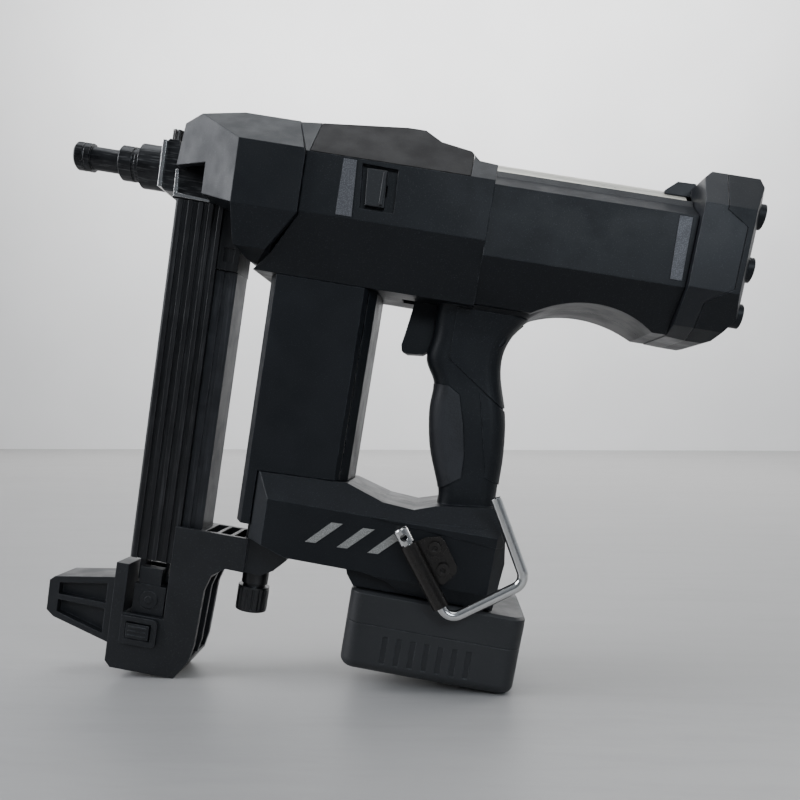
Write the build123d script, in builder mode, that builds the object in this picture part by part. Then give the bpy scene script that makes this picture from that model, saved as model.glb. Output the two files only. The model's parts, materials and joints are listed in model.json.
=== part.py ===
from build123d import *
import os
from math import cos, radians, sin

# A cordless gas-spring pin nailer, standing on its magazine foot and its battery.
#
# Every piece is modelled in the tool's own frame, in mm: x runs along the drive axis from the nose
# (x = 0 lies just ahead of the muzzle) to the tail, y points to the tool's right side and z up,
# square to the drive axis. STAND then places each piece in the standing frame: the tool leans back
# on its two lowest edges.

LEAN_DEG = 9.6
MUZZLE_X = -181.7
MUZZLE_Z = 310.7
STAND = Location((MUZZLE_X, 0, MUZZLE_Z), (0, LEAN_DEG, 0))

# Clearances between pieces: open seams, running fits and seats.
SEAM = 0.3
RUNNING = 0.05
PRESS = 0.1

# Barrel: the housing round the mechanism.
HEAD_FRONT = 68.4
RIDGE_X = 111.0
SEAM_X = 146.5
STEP_X = 246.0
BARREL_END = 352.0
CAP_END = 384.0
HEAD_HALF = 50.0
BODY_HALF = 47.5
BARREL_HALF = 46.0
CAP_HALF = 51.0
BELLY_Z = -52.0
BELLY_HALF = 30.0
CREASE_Z = 9.5
LOWER_CREASE_Z = -21.0
WALL = 3.0

# Column between the barrel and the foot: gearbox above, motor below.
COLUMN_FRONT = 131.0
COLUMN_REAR = 192.0
COLUMN_HALF = 30.0
COLUMN_TOP = BELLY_Z - SEAM
COLUMN_BOTTOM = -160.0
COLUMN_WALL = 3.5
COLUMN_STRIP_BOTTOM = -193.0
MOTOR_X = (COLUMN_FRONT + COLUMN_REAR) / 2
GEARBOX_R = 25.3
GEARBOX_TOP = -51.0
GEARBOX_BOTTOM = -88.0
CHEEK_CENTRE_Y = 10.3
CHEEK_HALF = 1.9
CHEEK_TOP = -19.0
MOTOR_R = 23.0
MOTOR_TOP = -89.5
MOTOR_BOTTOM = -146.0
MOTOR_BORE_R = 15.6
ROTOR_R = 14.8
ROTOR_SHAFT_R = 3.0
FAN_R = 21.0
FAN_PLATE_Z = -150.0
FAN_BLADE_DEPTH = 7.5

# Foot with the battery rail.
FOOT_FRONT = 141.5
FOOT_HALF = 40.0
FOOT_BOTTOM = -217.0
FOOT_ROOM_FRONT = 146.0
FOOT_ROOM_REAR = 283.5
FOOT_ROOM_TOP = -170.5
FOOT_ROOM_BOTTOM = -212.5

# Grip sections from top to bottom: height, front x, rear x, half width.
GRIP_SECTIONS = [
    (-40, 224, 304, 27),
    (-44, 225, 291, 25),
    (-48.5, 226, 283, 23.2),
    (-53, 226, 277.5, 21.8),
    (-60, 226, 272, 20.3),
    (-72, 226, 267.2, 19.3),
    (-84, 225, 267.4, 19),
    (-95, 231, 270.4, 19),
    (-106, 231.5, 274, 19.5),
    (-120, 232.8, 276.6, 20),
    (-134, 236, 277.8, 20),
    (-148, 241.5, 278, 20.5),
    (-160, 245, 279, 21),
    (-172, 244, 281, 22),
]
GRIP_CORNER = 9.0

# Driver, piston and lifter: the lifter wheel's pins push the teeth under the driver blade.
STROKE = 92.0
PIN_COUNT = 9
PIN_STEP_DEG = 36.0
PIN_CIRCLE_R = STROKE / radians((PIN_COUNT - 1) * PIN_STEP_DEG)
TOOTH_PITCH = PIN_CIRCLE_R * radians(PIN_STEP_DEG)
LIFTER_PIN_R = 2.3
PITCH_LINE_Z = -7.5
LIFTER_Z = PITCH_LINE_Z - PIN_CIRCLE_R
LIFTER_SHAFT_R = 4.0
DRIVER_TIP_X = 110.0
DRIVER_ROD_R = 3.5
BLADE_FRONT_X = 153.5
BLADE_HALF = 3.0
BLADE_HEIGHT = 9.0
TOOTH_BOTTOM_Z = -10.0
PISTON_X = 284.0
PISTON_LENGTH = 14.0
PISTON_R = 15.0
CYLINDER_R = 18.0
CYLINDER_FRONT = 186.0
CYLINDER_REAR = 322.0
CHAMBER_R = 30.0
CHAMBER_BORE_R = 27.5
CHAMBER_FRONT = 240.0
CHAMBER_REAR = 350.0

# Nose.
CONTACT_FRONT = 2.8
CONTACT_REAR = 37.0
CONTACT_TRAVEL = 17.5
CROWN_LENGTH = 9.6
CROWN_R = 7.9
TUBE_R = 6.5
DRIVE_BORE_R = 3.9
COLLAR_FRONT = 30.0
SLEEVE_FRONT = 43.0
FLANGE_FRONT = 56.9
NOSE_FRONT = 59.2
NOSE_REAR = 112.0
NOSE_HALF = 12.0
DEPTH_SCREW_X = 62.2
DEPTH_SCREW_Y = -4.0

# Magazine, square to the drive axis.
MAG_FRONT = 68.5
MAG_SPLIT = 96.7
MAG_REAR = 109.2
MAG_HALF = 14.0
MAG_TOP = -17.8
MAG_BOTTOM = -228.0
CHANNEL_HALF = 4.5
CHANNEL_FRONT = 71.5
CHANNEL_REAR = 106.5

MAG_HEAD_HALF = 12.5
MAG_RAIL_HALF = 11.0
GROOVE_WIDTH = 3.2
GROOVE_DEPTH = 1.3
GROOVE_FRONTS = [73.0, 79.0, 85.0, 91.0]

# Magazine foot, arm and clamp knob.
MAG_FOOT_HALF = 17.0
MAG_FOOT_BOTTOM = -297.2
WINDOW_TOP = -228.2
WINDOW_BOTTOM = -262.0
FOOT_SEAT_BOTTOM = -243.5
FOOT_POCKET_FRONTS = [112.5, 121.0, 129.5]
FOOT_POCKET_LENGTH = 6.5
FOOT_POCKET_HALF = 13.5
REAR_POCKET_FRONT = 111.0
REAR_POCKET_BOTTOM = -283.0
REAR_POCKET_TOP = -232.0
CENTRE_RIB_HALF = 1.4
KNOB_X = 143.0
KNOB_TOP = -235.0
KNOB_BOTTOM = -250.5
KNOB_R = 9.5
KNOB_NECK_R = 6.8
KNOB_COLLAR_R = 8.0
KNOB_GROOVES = 14
KNOB_BOLT_R = 3.0
KNOB_BOLT_TOP = -198.0
CLAMP_BOSS_HALF = 12.0
CLAMP_BOSS_BOTTOM = -207.7

# Follower, its spring drum and its release button.
FOLLOWER_HALF = 4.2
FOLLOWER_FRONT = 72.0
FOLLOWER_REAR = 106.0
FOLLOWER_BOTTOM = -242.6
FOLLOWER_TOP = -215.0
DRUM_X = 83.2
DRUM_Z = -252.5
DRUM_R = 5.5
DRUM_PIN_R = 2.2
BUTTON_FRONT = 74.0
BUTTON_REAR = 88.0
BUTTON_BOTTOM = -276.0
BUTTON_TOP = -267.0
BUTTON_GAP = 0.5
BUTTON_HALF_DEPTH = 3.3
BEZEL_HALF_DEPTH = 0.9

# Battery pack.
PACK_FRONT = 205.0
PACK_REAR = 306.0
PACK_HALF = 37.5
PACK_TOP = -218.0
PACK_SPLIT = -236.5
PACK_BOTTOM = -264.3
PACK_EDGE_R = 6.0
PACK_WALL = 3.0
PACK_FLOOR = 2.4
PACK_RIBS = 7
CELL_R = 9.15
CELL_PITCH = 18.5
CELL_LENGTH = 65.0

# Trigger.
PIVOT_X = 221.0
PIVOT_Z = -43.0
TRIGGER_HALF = 6.5
TRIGGER_PIN_R = 2.0
TRIGGER_SLOT_TOP = -36.0
TRIGGER_SLOT_BOTTOM = -83.8

# Housing screws: x, z and the half width of the moulding there.
HOUSING_SCREWS = [
    (262.0, -66.0, 19.2),
    (266.0, -158.0, 20.9),
    (156.5, -181.5, FOOT_HALF),
    (277.0, -192.0, FOOT_HALF),
]
SCREW_HEAD_R = 3.5
SCREW_HEAD_PROUD = -1.2
SCREW_SHANK_R = 1.5
SCREW_BOSS_R = 5.0
SCREW_SINK = 4.0
SCREW_LEFT_END = -11.0

# Rafter hook: the rod swivels in a tube on the left side.
HOOK_Y = -48.0
ROD_R = 3.0
HOOK_TUBE_R = 4.7
HOOK_TOP = (231.0, -182.5)
HOOK_ELBOW = (262.0, -223.5)
HOOK_CORNER = (300.0, -195.0)
HOOK_TIP = (275.5, -152.5)

os.makedirs("parts", exist_ok=True)


# Shared drawing helpers.

def mirrored(half_outline):
    """Close a half outline of (y, z) points with its mirror image about y = 0."""
    return half_outline + [(-y, z) for y, z in reversed(half_outline)]


def side_prism(outline, half_width, middle=0.0, mode=Mode.ADD):
    """Extrude an outline of (x, z) points to both sides of the plane y = middle."""
    with BuildSketch(Plane.XZ.offset(-middle)) as profile:
        Polygon(*outline, align=None)
    extrude(profile.sketch, amount=half_width, both=True, mode=mode)


def cross_prism(outline, x_start, x_end, mode=Mode.ADD):
    """Extrude a cross-section of (y, z) points from x_start to x_end."""
    with BuildSketch(Plane.YZ.offset(x_start)) as profile:
        Polygon(*outline, align=None)
    extrude(profile.sketch, amount=x_end - x_start, mode=mode)


def plan_prism(outline, z_low, z_high, mode=Mode.ADD):
    """Extrude a plan outline of (x, y) points from z_low to z_high."""
    with BuildSketch(Plane.XY.offset(z_low)) as profile:
        Polygon(*outline, align=None)
    extrude(profile.sketch, amount=z_high - z_low, mode=mode)


def block(x_low, x_high, half_width, z_low, z_high, middle=0.0, mode=Mode.ADD):
    """A box given by its x and z limits and its half width about y = middle."""
    centre = ((x_low + x_high) / 2, middle, (z_low + z_high) / 2)
    with Locations(centre):
        Box(x_high - x_low, 2 * half_width, z_high - z_low, mode=mode)


def rod_x(radius, x_start, x_end, y=0.0, z=0.0, mode=Mode.ADD):
    """A round bar along the drive axis."""
    with BuildSketch(Plane.YZ.offset(x_start)) as profile:
        with Locations((y, z)):
            Circle(radius)
    extrude(profile.sketch, amount=x_end - x_start, mode=mode)


def rod_y(radius, x, z, y_low, y_high, mode=Mode.ADD):
    """A round bar across the tool."""
    with BuildSketch(Plane.XZ.offset(-y_high)) as profile:
        with Locations((x, z)):
            Circle(radius)
    extrude(profile.sketch, amount=y_high - y_low, mode=mode)


def rod_z(radius, x, z_low, z_high, y=0.0, mode=Mode.ADD):
    """A round bar along the tool's height."""
    with BuildSketch(Plane.XY.offset(z_low)) as profile:
        with Locations((x, y)):
            Circle(radius)
    extrude(profile.sketch, amount=z_high - z_low, mode=mode)


def save(part, label):
    """Stand a finished piece up and write it to its own STEP file."""
    standing = part.moved(STAND)
    standing.label = label
    export_step(standing, f"parts/{label}.step")


def save_halves(part, left_label, right_label):
    """Split a moulding at the tool's mid plane and write its two halves."""
    save(split(part, bisect_by=Plane.XZ, keep=Keep.TOP), left_label)
    save(split(part, bisect_by=Plane.XZ, keep=Keep.BOTTOM), right_label)


# Shared outlines.

BODY_SECTION = mirrored([
    (18, 38),
    (BODY_HALF, CREASE_Z),
    (BODY_HALF, LOWER_CREASE_Z),
    (BELLY_HALF, BELLY_Z),
])
BODY_CAVITY_SECTION = mirrored([
    (16.5, 34.5),
    (43, 8),
    (43, LOWER_CREASE_Z + 1),
    (BELLY_HALF - 3.5, BELLY_Z + WALL),
])
BARREL_SECTION = mirrored([
    (26, 20.5),
    (30, 16.5),
    (BARREL_HALF, 8),
    (BARREL_HALF, -28),
    (27, -50.5),
])
BARREL_CAVITY_SECTION = mirrored([
    (27, 12),
    (BARREL_HALF - WALL, 5),
    (BARREL_HALF - WALL, -24),
    (31, -37.5),
])
BODY_CAVITY_REAR = 238.0
BARREL_CAVITIES = [(246, 292), (298, 346)]
BODY_SIDE = [
    (136.7, 29.5),
    (194, 38),
    (204, 38),
    (214, 31),
    (231, 27.5),
    (236, 21.5),
    (STEP_X, 20.5),
    (STEP_X, BELLY_Z),
    (122.5, BELLY_Z),
    (131.8, -43),
    (SEAM_X + SEAM, -22.5),
    (SEAM_X + SEAM, 8),
]
FOOT_SIDE = [
    (FOOT_FRONT, -162),
    (193, -160),
    (215, -166.8),
    (233, -168),
    (245, -164),
    (279, -160),
    (285.5, -172),
    (288.5, -190),
    (286, FOOT_BOTTOM),
    (246, FOOT_BOTTOM),
    (234, -215.5),
    (224, -210),
    (211, -207),
    (166, -206.7),
    (152, -202),
    (FOOT_FRONT, -201),
]
FOOT_SKIRT_SIDE = [(199.5, -205), (240, -205), (240, FOOT_BOTTOM), (206, FOOT_BOTTOM), (201.5, -211)]
FOOT_SKIRT_HALF = 33.0
FOOT_SECTION = mirrored([
    (28, -158),
    (FOOT_HALF, -175.3),
    (FOOT_HALF, -208),
    (34, -218),
])
FOOT_PLAN = [
    (FOOT_FRONT, -29),
    (151.5, -FOOT_HALF),
    (281, -FOOT_HALF),
    (289, -30),
    (289, 30),
    (281, FOOT_HALF),
    (151.5, FOOT_HALF),
    (FOOT_FRONT, 29),
]


# Main housing: barrel, grip and foot, moulded as a left and a right half.

def grip_solid(inset):
    """The grip as a loft of rounded rectangles, shrunk by inset on every side."""
    sections = []
    for height, front, rear, half in GRIP_SECTIONS:
        with BuildSketch(Plane.XY.offset(height)) as section:
            with Locations(((front + rear) / 2, 0)):
                RectangleRounded(rear - front - 2 * inset, 2 * (half - inset), GRIP_CORNER - inset)
        sections.append(section.sketch)
    with BuildPart() as grip:
        loft(sections)
    return grip.part


with BuildPart() as grip_cavity:
    add(grip_solid(WALL))
    block(190, 310, 30, -171, -51, mode=Mode.INTERSECT)

GRIP_INSERT_REGION = [
    (218, -96.5),
    (240, -96.5),
    (247, -100.5),
    (252, -117),
    (255.5, -134),
    (256, -147),
    (246, -154.5),
    (218, -157),
]
with BuildPart() as grip_insert_space:
    add(grip_solid(-1))
    side_prism(GRIP_INSERT_REGION, 30, mode=Mode.INTERSECT)
    add(grip_solid(1.8), mode=Mode.SUBTRACT)

with BuildPart() as grip_insert:
    add(grip_solid(-0.4))
    side_prism(GRIP_INSERT_REGION, 30, mode=Mode.INTERSECT)
    add(grip_solid(1.6), mode=Mode.SUBTRACT)
save(grip_insert.part, "rubber_grip_insert")

with BuildPart() as body_outer:
    cross_prism(BODY_SECTION, 120, STEP_X)
    side_prism(BODY_SIDE, 60, mode=Mode.INTERSECT)

with BuildPart() as foot_outer:
    side_prism(FOOT_SIDE, FOOT_HALF)
    cross_prism(FOOT_SECTION, 140, 290, mode=Mode.INTERSECT)
    plan_prism(FOOT_PLAN, -220, -150, mode=Mode.INTERSECT)

COVER_FRONT = 148.0
COVER_REAR = 233.0
with BuildPart() as cover_space:
    add(body_outer.part)
    block(COVER_FRONT, COVER_REAR, 60, CREASE_Z, 60, mode=Mode.INTERSECT)

with BuildPart() as top_cover:
    add(body_outer.part)
    block(COVER_FRONT + SEAM, COVER_REAR - SEAM, 60, CREASE_Z + SEAM, 60, mode=Mode.INTERSECT)
    add(body_outer.part.moved(Location((0, 0, -3.5))), mode=Mode.SUBTRACT)
save(top_cover.part, "top_cover")

FRONT_STRIP = [(166.4, 8.5), (173.4, 8.5), (175, -20), (166.4, -20)]
REAR_STRIP = [(342, 7), (348.8, 7), (349.6, -25), (343.5, -25)]
SLIDER_RECESS = [(176.5, 7.5), (195.5, 7), (196.5, -15), (178.5, -15)]
STRIPE_LEFT_X = [176.0, 194.0, 211.5]
STRIPE_SHAPE = [(0, -13.5), (6, -13.2), (19.5, 0), (13, -0.2)]
STRIPE_TOP_Z = -182.0
INLAY_DEPTH = 1.2
INLAY_PROUD = 0.3


def stripe_outline(left_x):
    """One slanted stripe on the foot's side."""
    return [(left_x + x, STRIPE_TOP_Z + z) for x, z in STRIPE_SHAPE]


def inlay_pair(outline, face_y, mode=Mode.ADD, proud=0.0):
    """The same inlay on both sides, its outer face proud of the wall at y = face_y."""
    half = (INLAY_DEPTH + proud) / 2
    for side in (-1, 1):
        side_prism(outline, half, middle=side * (face_y + proud - half), mode=mode)


with BuildPart() as housing:
    add(body_outer.part)
    cross_prism(BARREL_SECTION, STEP_X, BARREL_END)
    add(cover_space.part, mode=Mode.SUBTRACT)
    # Arch between the grip and the barrel's underside.
    with BuildSketch(Plane.XZ) as arch:
        with BuildLine():
            Polyline((345, -51), (345, -60), (270, -60), (277, -51))
            ThreePointArc((277, -51), (307, -41.6), (345, -51))
        make_face()
    extrude(arch.sketch, amount=60, both=True, mode=Mode.SUBTRACT)
    add(grip_solid(0))
    add(foot_outer.part)
    side_prism(FOOT_SKIRT_SIDE, FOOT_SKIRT_HALF)
    # Cavities of the body, the barrel and the foot.
    cross_prism(BODY_CAVITY_SECTION, 110, BODY_CAVITY_REAR, mode=Mode.SUBTRACT)
    for cavity_start, cavity_end in BARREL_CAVITIES:
        cross_prism(BARREL_CAVITY_SECTION, cavity_start, cavity_end, mode=Mode.SUBTRACT)
    rod_x(CHAMBER_R + SEAM, BODY_CAVITY_REAR - 2, BARREL_END + 1, mode=Mode.SUBTRACT)
    block(FOOT_ROOM_FRONT, FOOT_ROOM_REAR, 24, FOOT_ROOM_BOTTOM, FOOT_ROOM_TOP, mode=Mode.SUBTRACT)
    block(154, 280, FOOT_HALF - WALL, -203.5, -177.5, mode=Mode.SUBTRACT)
    add(grip_cavity.part, mode=Mode.SUBTRACT)
    # Way for the gearbox through the belly.
    rod_z(GEARBOX_R + SEAM, MOTOR_X, -54, -40, mode=Mode.SUBTRACT)
    # Trigger slot.
    block(205, 236, TRIGGER_HALF + 1, TRIGGER_SLOT_BOTTOM, -44, mode=Mode.SUBTRACT)
    block(214, 236, TRIGGER_HALF + 1, -50, TRIGGER_SLOT_TOP, mode=Mode.SUBTRACT)
    # Vent slot in front of the top cover.
    block(139, 145.5, 9, 24, 40, mode=Mode.SUBTRACT)
    # Pockets for the inlays, the slider and the clamp boss.
    inlay_pair(FRONT_STRIP, BODY_HALF, mode=Mode.SUBTRACT)
    inlay_pair(REAR_STRIP, BARREL_HALF, mode=Mode.SUBTRACT)
    for left_x in STRIPE_LEFT_X:
        inlay_pair(stripe_outline(left_x), FOOT_HALF, mode=Mode.SUBTRACT)
    side_prism(SLIDER_RECESS, 2.5, middle=-BODY_HALF, mode=Mode.SUBTRACT)
    block(183, 191, 6, -7, -1, middle=-BODY_HALF, mode=Mode.SUBTRACT)
    block(140, 158, 12.2, -210, -188, mode=Mode.SUBTRACT)
    add(grip_insert_space.part, mode=Mode.SUBTRACT)
    # Screw bosses, drilled from the right side.
    for screw_x, screw_z, side_y in HOUSING_SCREWS:
        rod_y(SCREW_BOSS_R, screw_x, screw_z, -side_y + WALL / 2, side_y - WALL / 2)
        rod_y(SCREW_HEAD_R + SEAM, screw_x, screw_z, side_y - SCREW_SINK, side_y + 2, mode=Mode.SUBTRACT)
        rod_y(SCREW_SHANK_R + RUNNING, screw_x, screw_z, SCREW_LEFT_END - 1, side_y, mode=Mode.SUBTRACT)
save_halves(housing.part, "left_housing", "right_housing")

with BuildPart() as housing_screws:
    for screw_x, screw_z, side_y in HOUSING_SCREWS:
        rod_y(SCREW_HEAD_R, screw_x, screw_z, side_y - SCREW_SINK + PRESS, side_y + SCREW_HEAD_PROUD)
        rod_y(SCREW_SHANK_R, screw_x, screw_z, SCREW_LEFT_END, side_y - SCREW_SINK + PRESS)
        with BuildSketch(Plane.XZ.offset(-side_y - SCREW_HEAD_PROUD)) as socket:
            with Locations((screw_x, screw_z)):
                RegularPolygon(1.9, 6)
        extrude(socket.sketch, amount=1.6, mode=Mode.SUBTRACT)
save(housing_screws.part, "housing_screws")

with BuildPart() as front_strips:
    inlay_pair(FRONT_STRIP, BODY_HALF, proud=INLAY_PROUD)
save(front_strips.part, "front_side_strips")

with BuildPart() as rear_strips:
    inlay_pair(REAR_STRIP, BARREL_HALF, proud=INLAY_PROUD)
save(rear_strips.part, "rear_side_strips")

with BuildPart() as foot_stripes:
    for left_x in STRIPE_LEFT_X:
        inlay_pair(stripe_outline(left_x), FOOT_HALF, proud=INLAY_PROUD)
save(foot_stripes.part, "foot_stripes")

# Slider in the recess on the left side: a ribbed pad on a short stem through the wall.
with BuildPart() as mode_slider:
    side_prism([(179.5, 5.5), (190, 5.5), (191, -13), (181, -13)], 1.3, middle=-BODY_HALF + 1.0)
    block(188.2, 190, 0.7, -12, 4.5, middle=-BODY_HALF - 0.9)
    block(184, 187, 2.4, -6, -2, middle=-BODY_HALF + 4.2)
save(mode_slider.part, "mode_slider")


# Head cover: a faceted hood round the nose block, open at the back and under the nose.

HEAD_SECTION = mirrored([
    (20, 32.5),
    (HEAD_HALF, 10),
    (HEAD_HALF, -22.5),
    (45, -43),
    (30, -49),
])
HEAD_CAVITY_SECTION = mirrored([
    (18.5, 28.8),
    (HEAD_HALF - 4, 8),
    (HEAD_HALF - 4, -21),
    (41.5, -40),
    (28, -45.5),
])
HEAD_SIDE = [
    (HEAD_FRONT, -17),
    (HEAD_FRONT, -2),
    (71.8, 21),
    (104, 31.8),
    (135.2, 31.8),
    (SEAM_X, 8),
    (SEAM_X, -22.5),
    (131.4, -43),
    (124, -49),
    (119, -47.5),
    (113.5, -42),
    (110.8, -22.5),
    (88, -17),
]
HEAD_CAVITY_SIDE = [
    (HEAD_FRONT + 4, -13.5),
    (HEAD_FRONT + 4, -2),
    (75.5, 17.6),
    (105, 28),
    (160, 28),
    (160, -55),
    (126, -55),
    (126, -45),
    (121, -43.5),
    (117.5, -40),
    (114.5, -18.5),
    (88.5, -13.5),
]
HEAD_PLAN = [
    (HEAD_FRONT, -19),
    (RIDGE_X, -HEAD_HALF),
    (160, -HEAD_HALF),
    (160, HEAD_HALF),
    (RIDGE_X, HEAD_HALF),
    (HEAD_FRONT, 19),
]
HEAD_CAVITY_PLAN = [
    (HEAD_FRONT + 4, -17),
    (RIDGE_X + 2, -HEAD_HALF + 4),
    (160, -HEAD_HALF + 4),
    (160, HEAD_HALF - 4),
    (RIDGE_X + 2, HEAD_HALF - 4),
    (HEAD_FRONT + 4, 17),
]
with BuildPart() as head_cavity:
    side_prism(HEAD_CAVITY_SIDE, 60)
    cross_prism(HEAD_CAVITY_SECTION, 60, 165, mode=Mode.INTERSECT)
    plan_prism(HEAD_CAVITY_PLAN, -60, 40, mode=Mode.INTERSECT)

with BuildPart() as head_cover:
    side_prism(HEAD_SIDE, 60)
    cross_prism(HEAD_SECTION, 60, 165, mode=Mode.INTERSECT)
    plan_prism(HEAD_PLAN, -60, 40, mode=Mode.INTERSECT)
    add(head_cavity.part, mode=Mode.SUBTRACT)
    # Opening for the nose block, and a notch on each side of it.
    block(60, 112.8, NOSE_HALF + SEAM, -25, 15, mode=Mode.SUBTRACT)
    block(60, 112.8, MAG_HALF + SEAM, -25, MAG_TOP + SEAM, mode=Mode.SUBTRACT)
    block(60, 90, 40, -18, -1, mode=Mode.SUBTRACT)
save(head_cover.part, "head_cover")

# Column: the motor housing, in two halves, with a strip that runs down in front of the foot.

COLUMN_SIDE = [
    (COLUMN_FRONT, COLUMN_TOP),
    (COLUMN_REAR, COLUMN_TOP),
    (COLUMN_REAR, COLUMN_BOTTOM + SEAM),
    (FOOT_FRONT - SEAM, -162 + SEAM),
    (FOOT_FRONT - SEAM, COLUMN_STRIP_BOTTOM),
    (COLUMN_FRONT, COLUMN_STRIP_BOTTOM),
]
COLUMN_PLAN = [
    (COLUMN_FRONT, -19),
    (COLUMN_FRONT + 5, -COLUMN_HALF),
    (COLUMN_REAR - 6.5, -COLUMN_HALF),
    (COLUMN_REAR, -20),
    (COLUMN_REAR, 20),
    (COLUMN_REAR - 6.5, COLUMN_HALF),
    (COLUMN_FRONT + 5, COLUMN_HALF),
    (COLUMN_FRONT, 19),
]
with BuildPart() as column:
    side_prism(COLUMN_SIDE, COLUMN_HALF)
    plan_prism(COLUMN_PLAN, -200, -40, mode=Mode.INTERSECT)
    block(COLUMN_FRONT + 4, COLUMN_REAR - 4, COLUMN_HALF - COLUMN_WALL, COLUMN_BOTTOM + 1, -50,
          mode=Mode.SUBTRACT)
save_halves(column.part, "left_column_half", "right_column_half")

# Nose: a steel block with the drive channel and the pin slot, a thin flange, a collar and a sleeve.

with BuildPart() as nose_block:
    block(NOSE_FRONT, 66, NOSE_HALF, -14, 14.3)
    block(66, NOSE_REAR, NOSE_HALF, MAG_TOP + 0.3, 12)
    chamfer(nose_block.edges().filter_by(Axis.Y).group_by(Axis.X)[0], 1.2)
    rod_x(DRIVE_BORE_R, NOSE_FRONT - 1, 62, mode=Mode.SUBTRACT)
    block(61, NOSE_REAR + 1, BLADE_HALF + 0.3, TOOTH_BOTTOM_Z - 0.6, 5.2, mode=Mode.SUBTRACT)
    rod_x(DRIVE_BORE_R, 61, NOSE_REAR + 1, mode=Mode.SUBTRACT)
    block(CHANNEL_FRONT, CHANNEL_REAR, CHANNEL_HALF, -20, 0, mode=Mode.SUBTRACT)
    rod_z(2.55, DEPTH_SCREW_X, 6.2, 16, y=DEPTH_SCREW_Y, mode=Mode.SUBTRACT)
save(nose_block.part, "nose_block")

with BuildPart() as nose_flange:
    block(FLANGE_FRONT, NOSE_FRONT - 0.1, 13.2, -12.6, 13.2)
    rod_x(DRIVE_BORE_R, FLANGE_FRONT - 1, NOSE_FRONT + 1, mode=Mode.SUBTRACT)
save(nose_flange.part, "nose_flange")

with BuildPart() as nose_sleeve:
    rod_x(12.4, SLEEVE_FRONT, FLANGE_FRONT - 0.1)
    rod_x(9.7, COLLAR_FRONT, SLEEVE_FRONT)
    rod_x(12, COLLAR_FRONT + 8, COLLAR_FRONT + 10, mode=Mode.SUBTRACT)
    rod_x(9.0, COLLAR_FRONT + 7.9, COLLAR_FRONT + 10.1)
    rod_x(TUBE_R + RUNNING, COLLAR_FRONT - 1, FLANGE_FRONT - 2, mode=Mode.SUBTRACT)
    rod_x(DRIVE_BORE_R, FLANGE_FRONT - 3, FLANGE_FRONT, mode=Mode.SUBTRACT)
    front_rims = nose_sleeve.edges().filter_by(GeomType.CIRCLE).group_by(Axis.X)[0]
    chamfer(front_rims.sort_by(SortBy.RADIUS)[-1], 0.8)
save(nose_sleeve.part, "nose_sleeve")

# Workpiece contact: it slides back into the sleeve when pressed on the work.
CROWN_GROOVE_X = CONTACT_FRONT + 5.2
with BuildPart() as contact_tube:
    rod_x(TUBE_R, CONTACT_FRONT, CONTACT_REAR)
    rod_x(CROWN_R, CONTACT_FRONT, CONTACT_FRONT + CROWN_LENGTH)
    chamfer(contact_tube.edges().filter_by(GeomType.CIRCLE).group_by(Axis.X)[0], 1.0)
    rod_x(CROWN_R + 1, CROWN_GROOVE_X, CROWN_GROOVE_X + 1, mode=Mode.SUBTRACT)
    rod_x(CROWN_R - 0.5, CROWN_GROOVE_X - 0.1, CROWN_GROOVE_X + 1.1)
    rod_x(DRIVE_BORE_R, CONTACT_FRONT - 1, CONTACT_REAR + 1, mode=Mode.SUBTRACT)
save(contact_tube.part, "workpiece_contact")

# Depth screw: a knurled head on a threaded shank, on top of the nose block.
with BuildPart() as depth_screw:
    rod_z(2.5, DEPTH_SCREW_X, 7, 15, y=DEPTH_SCREW_Y)
    rod_z(3.4, DEPTH_SCREW_X, 14.6, 21.4, y=DEPTH_SCREW_Y)
    with BuildSketch(Plane.XY.offset(15.4)) as knurl:
        with Locations((DEPTH_SCREW_X, DEPTH_SCREW_Y)):
            with PolarLocations(3.5, 12):
                Circle(0.35)
    extrude(knurl.sketch, amount=4.6, mode=Mode.SUBTRACT)
    block(DEPTH_SCREW_X - 0.4, DEPTH_SCREW_X + 0.4, 4, 20.4, 22, middle=DEPTH_SCREW_Y, mode=Mode.SUBTRACT)
save(depth_screw.part, "depth_screw")

# Guide behind the nose block: it carries the driver blade over the lifter wheel.
with BuildPart() as driver_guide:
    block(NOSE_REAR + 0.2, 180, 14, -14, 12)
    block(NOSE_REAR, 181, BLADE_HALF + 0.3, TOOTH_BOTTOM_Z - 0.6, 5.2, mode=Mode.SUBTRACT)
    rod_x(DRIVE_BORE_R, NOSE_REAR, BLADE_FRONT_X + 0.5, mode=Mode.SUBTRACT)
    block(137.5, 181, 8.2, -15, -2.5, mode=Mode.SUBTRACT)
    rod_x(24, 180, CYLINDER_FRONT)
    rod_x(7.5, 179, CYLINDER_FRONT + 1, mode=Mode.SUBTRACT)
    block(179, CYLINDER_FRONT + 1, BLADE_HALF + 0.3, TOOTH_BOTTOM_Z - 0.6, 5.2, mode=Mode.SUBTRACT)
    block(179, 183.8, 8.2, -25, -2.5, mode=Mode.SUBTRACT)
save(driver_guide.part, "driver_guide")

# Drive cylinder and gas chamber.
with BuildPart() as drive_cylinder:
    rod_x(CYLINDER_R, CYLINDER_FRONT + 0.1, CYLINDER_REAR)
    rod_x(PISTON_R + RUNNING, CYLINDER_FRONT, CYLINDER_REAR + 1, mode=Mode.SUBTRACT)
save(drive_cylinder.part, "drive_cylinder")

with BuildPart() as bumper:
    rod_x(PISTON_R - 0.3, CYLINDER_FRONT + 0.2, 191.5)
    rod_x(11.5, CYLINDER_FRONT, 192, mode=Mode.SUBTRACT)
save(bumper.part, "piston_bumper")

with BuildPart() as gas_chamber:
    rod_x(CHAMBER_R, CHAMBER_FRONT, CHAMBER_REAR)
    rod_x(CHAMBER_BORE_R, CHAMBER_FRONT - 1, CHAMBER_REAR + 1, mode=Mode.SUBTRACT)
save(gas_chamber.part, "gas_chamber")

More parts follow.
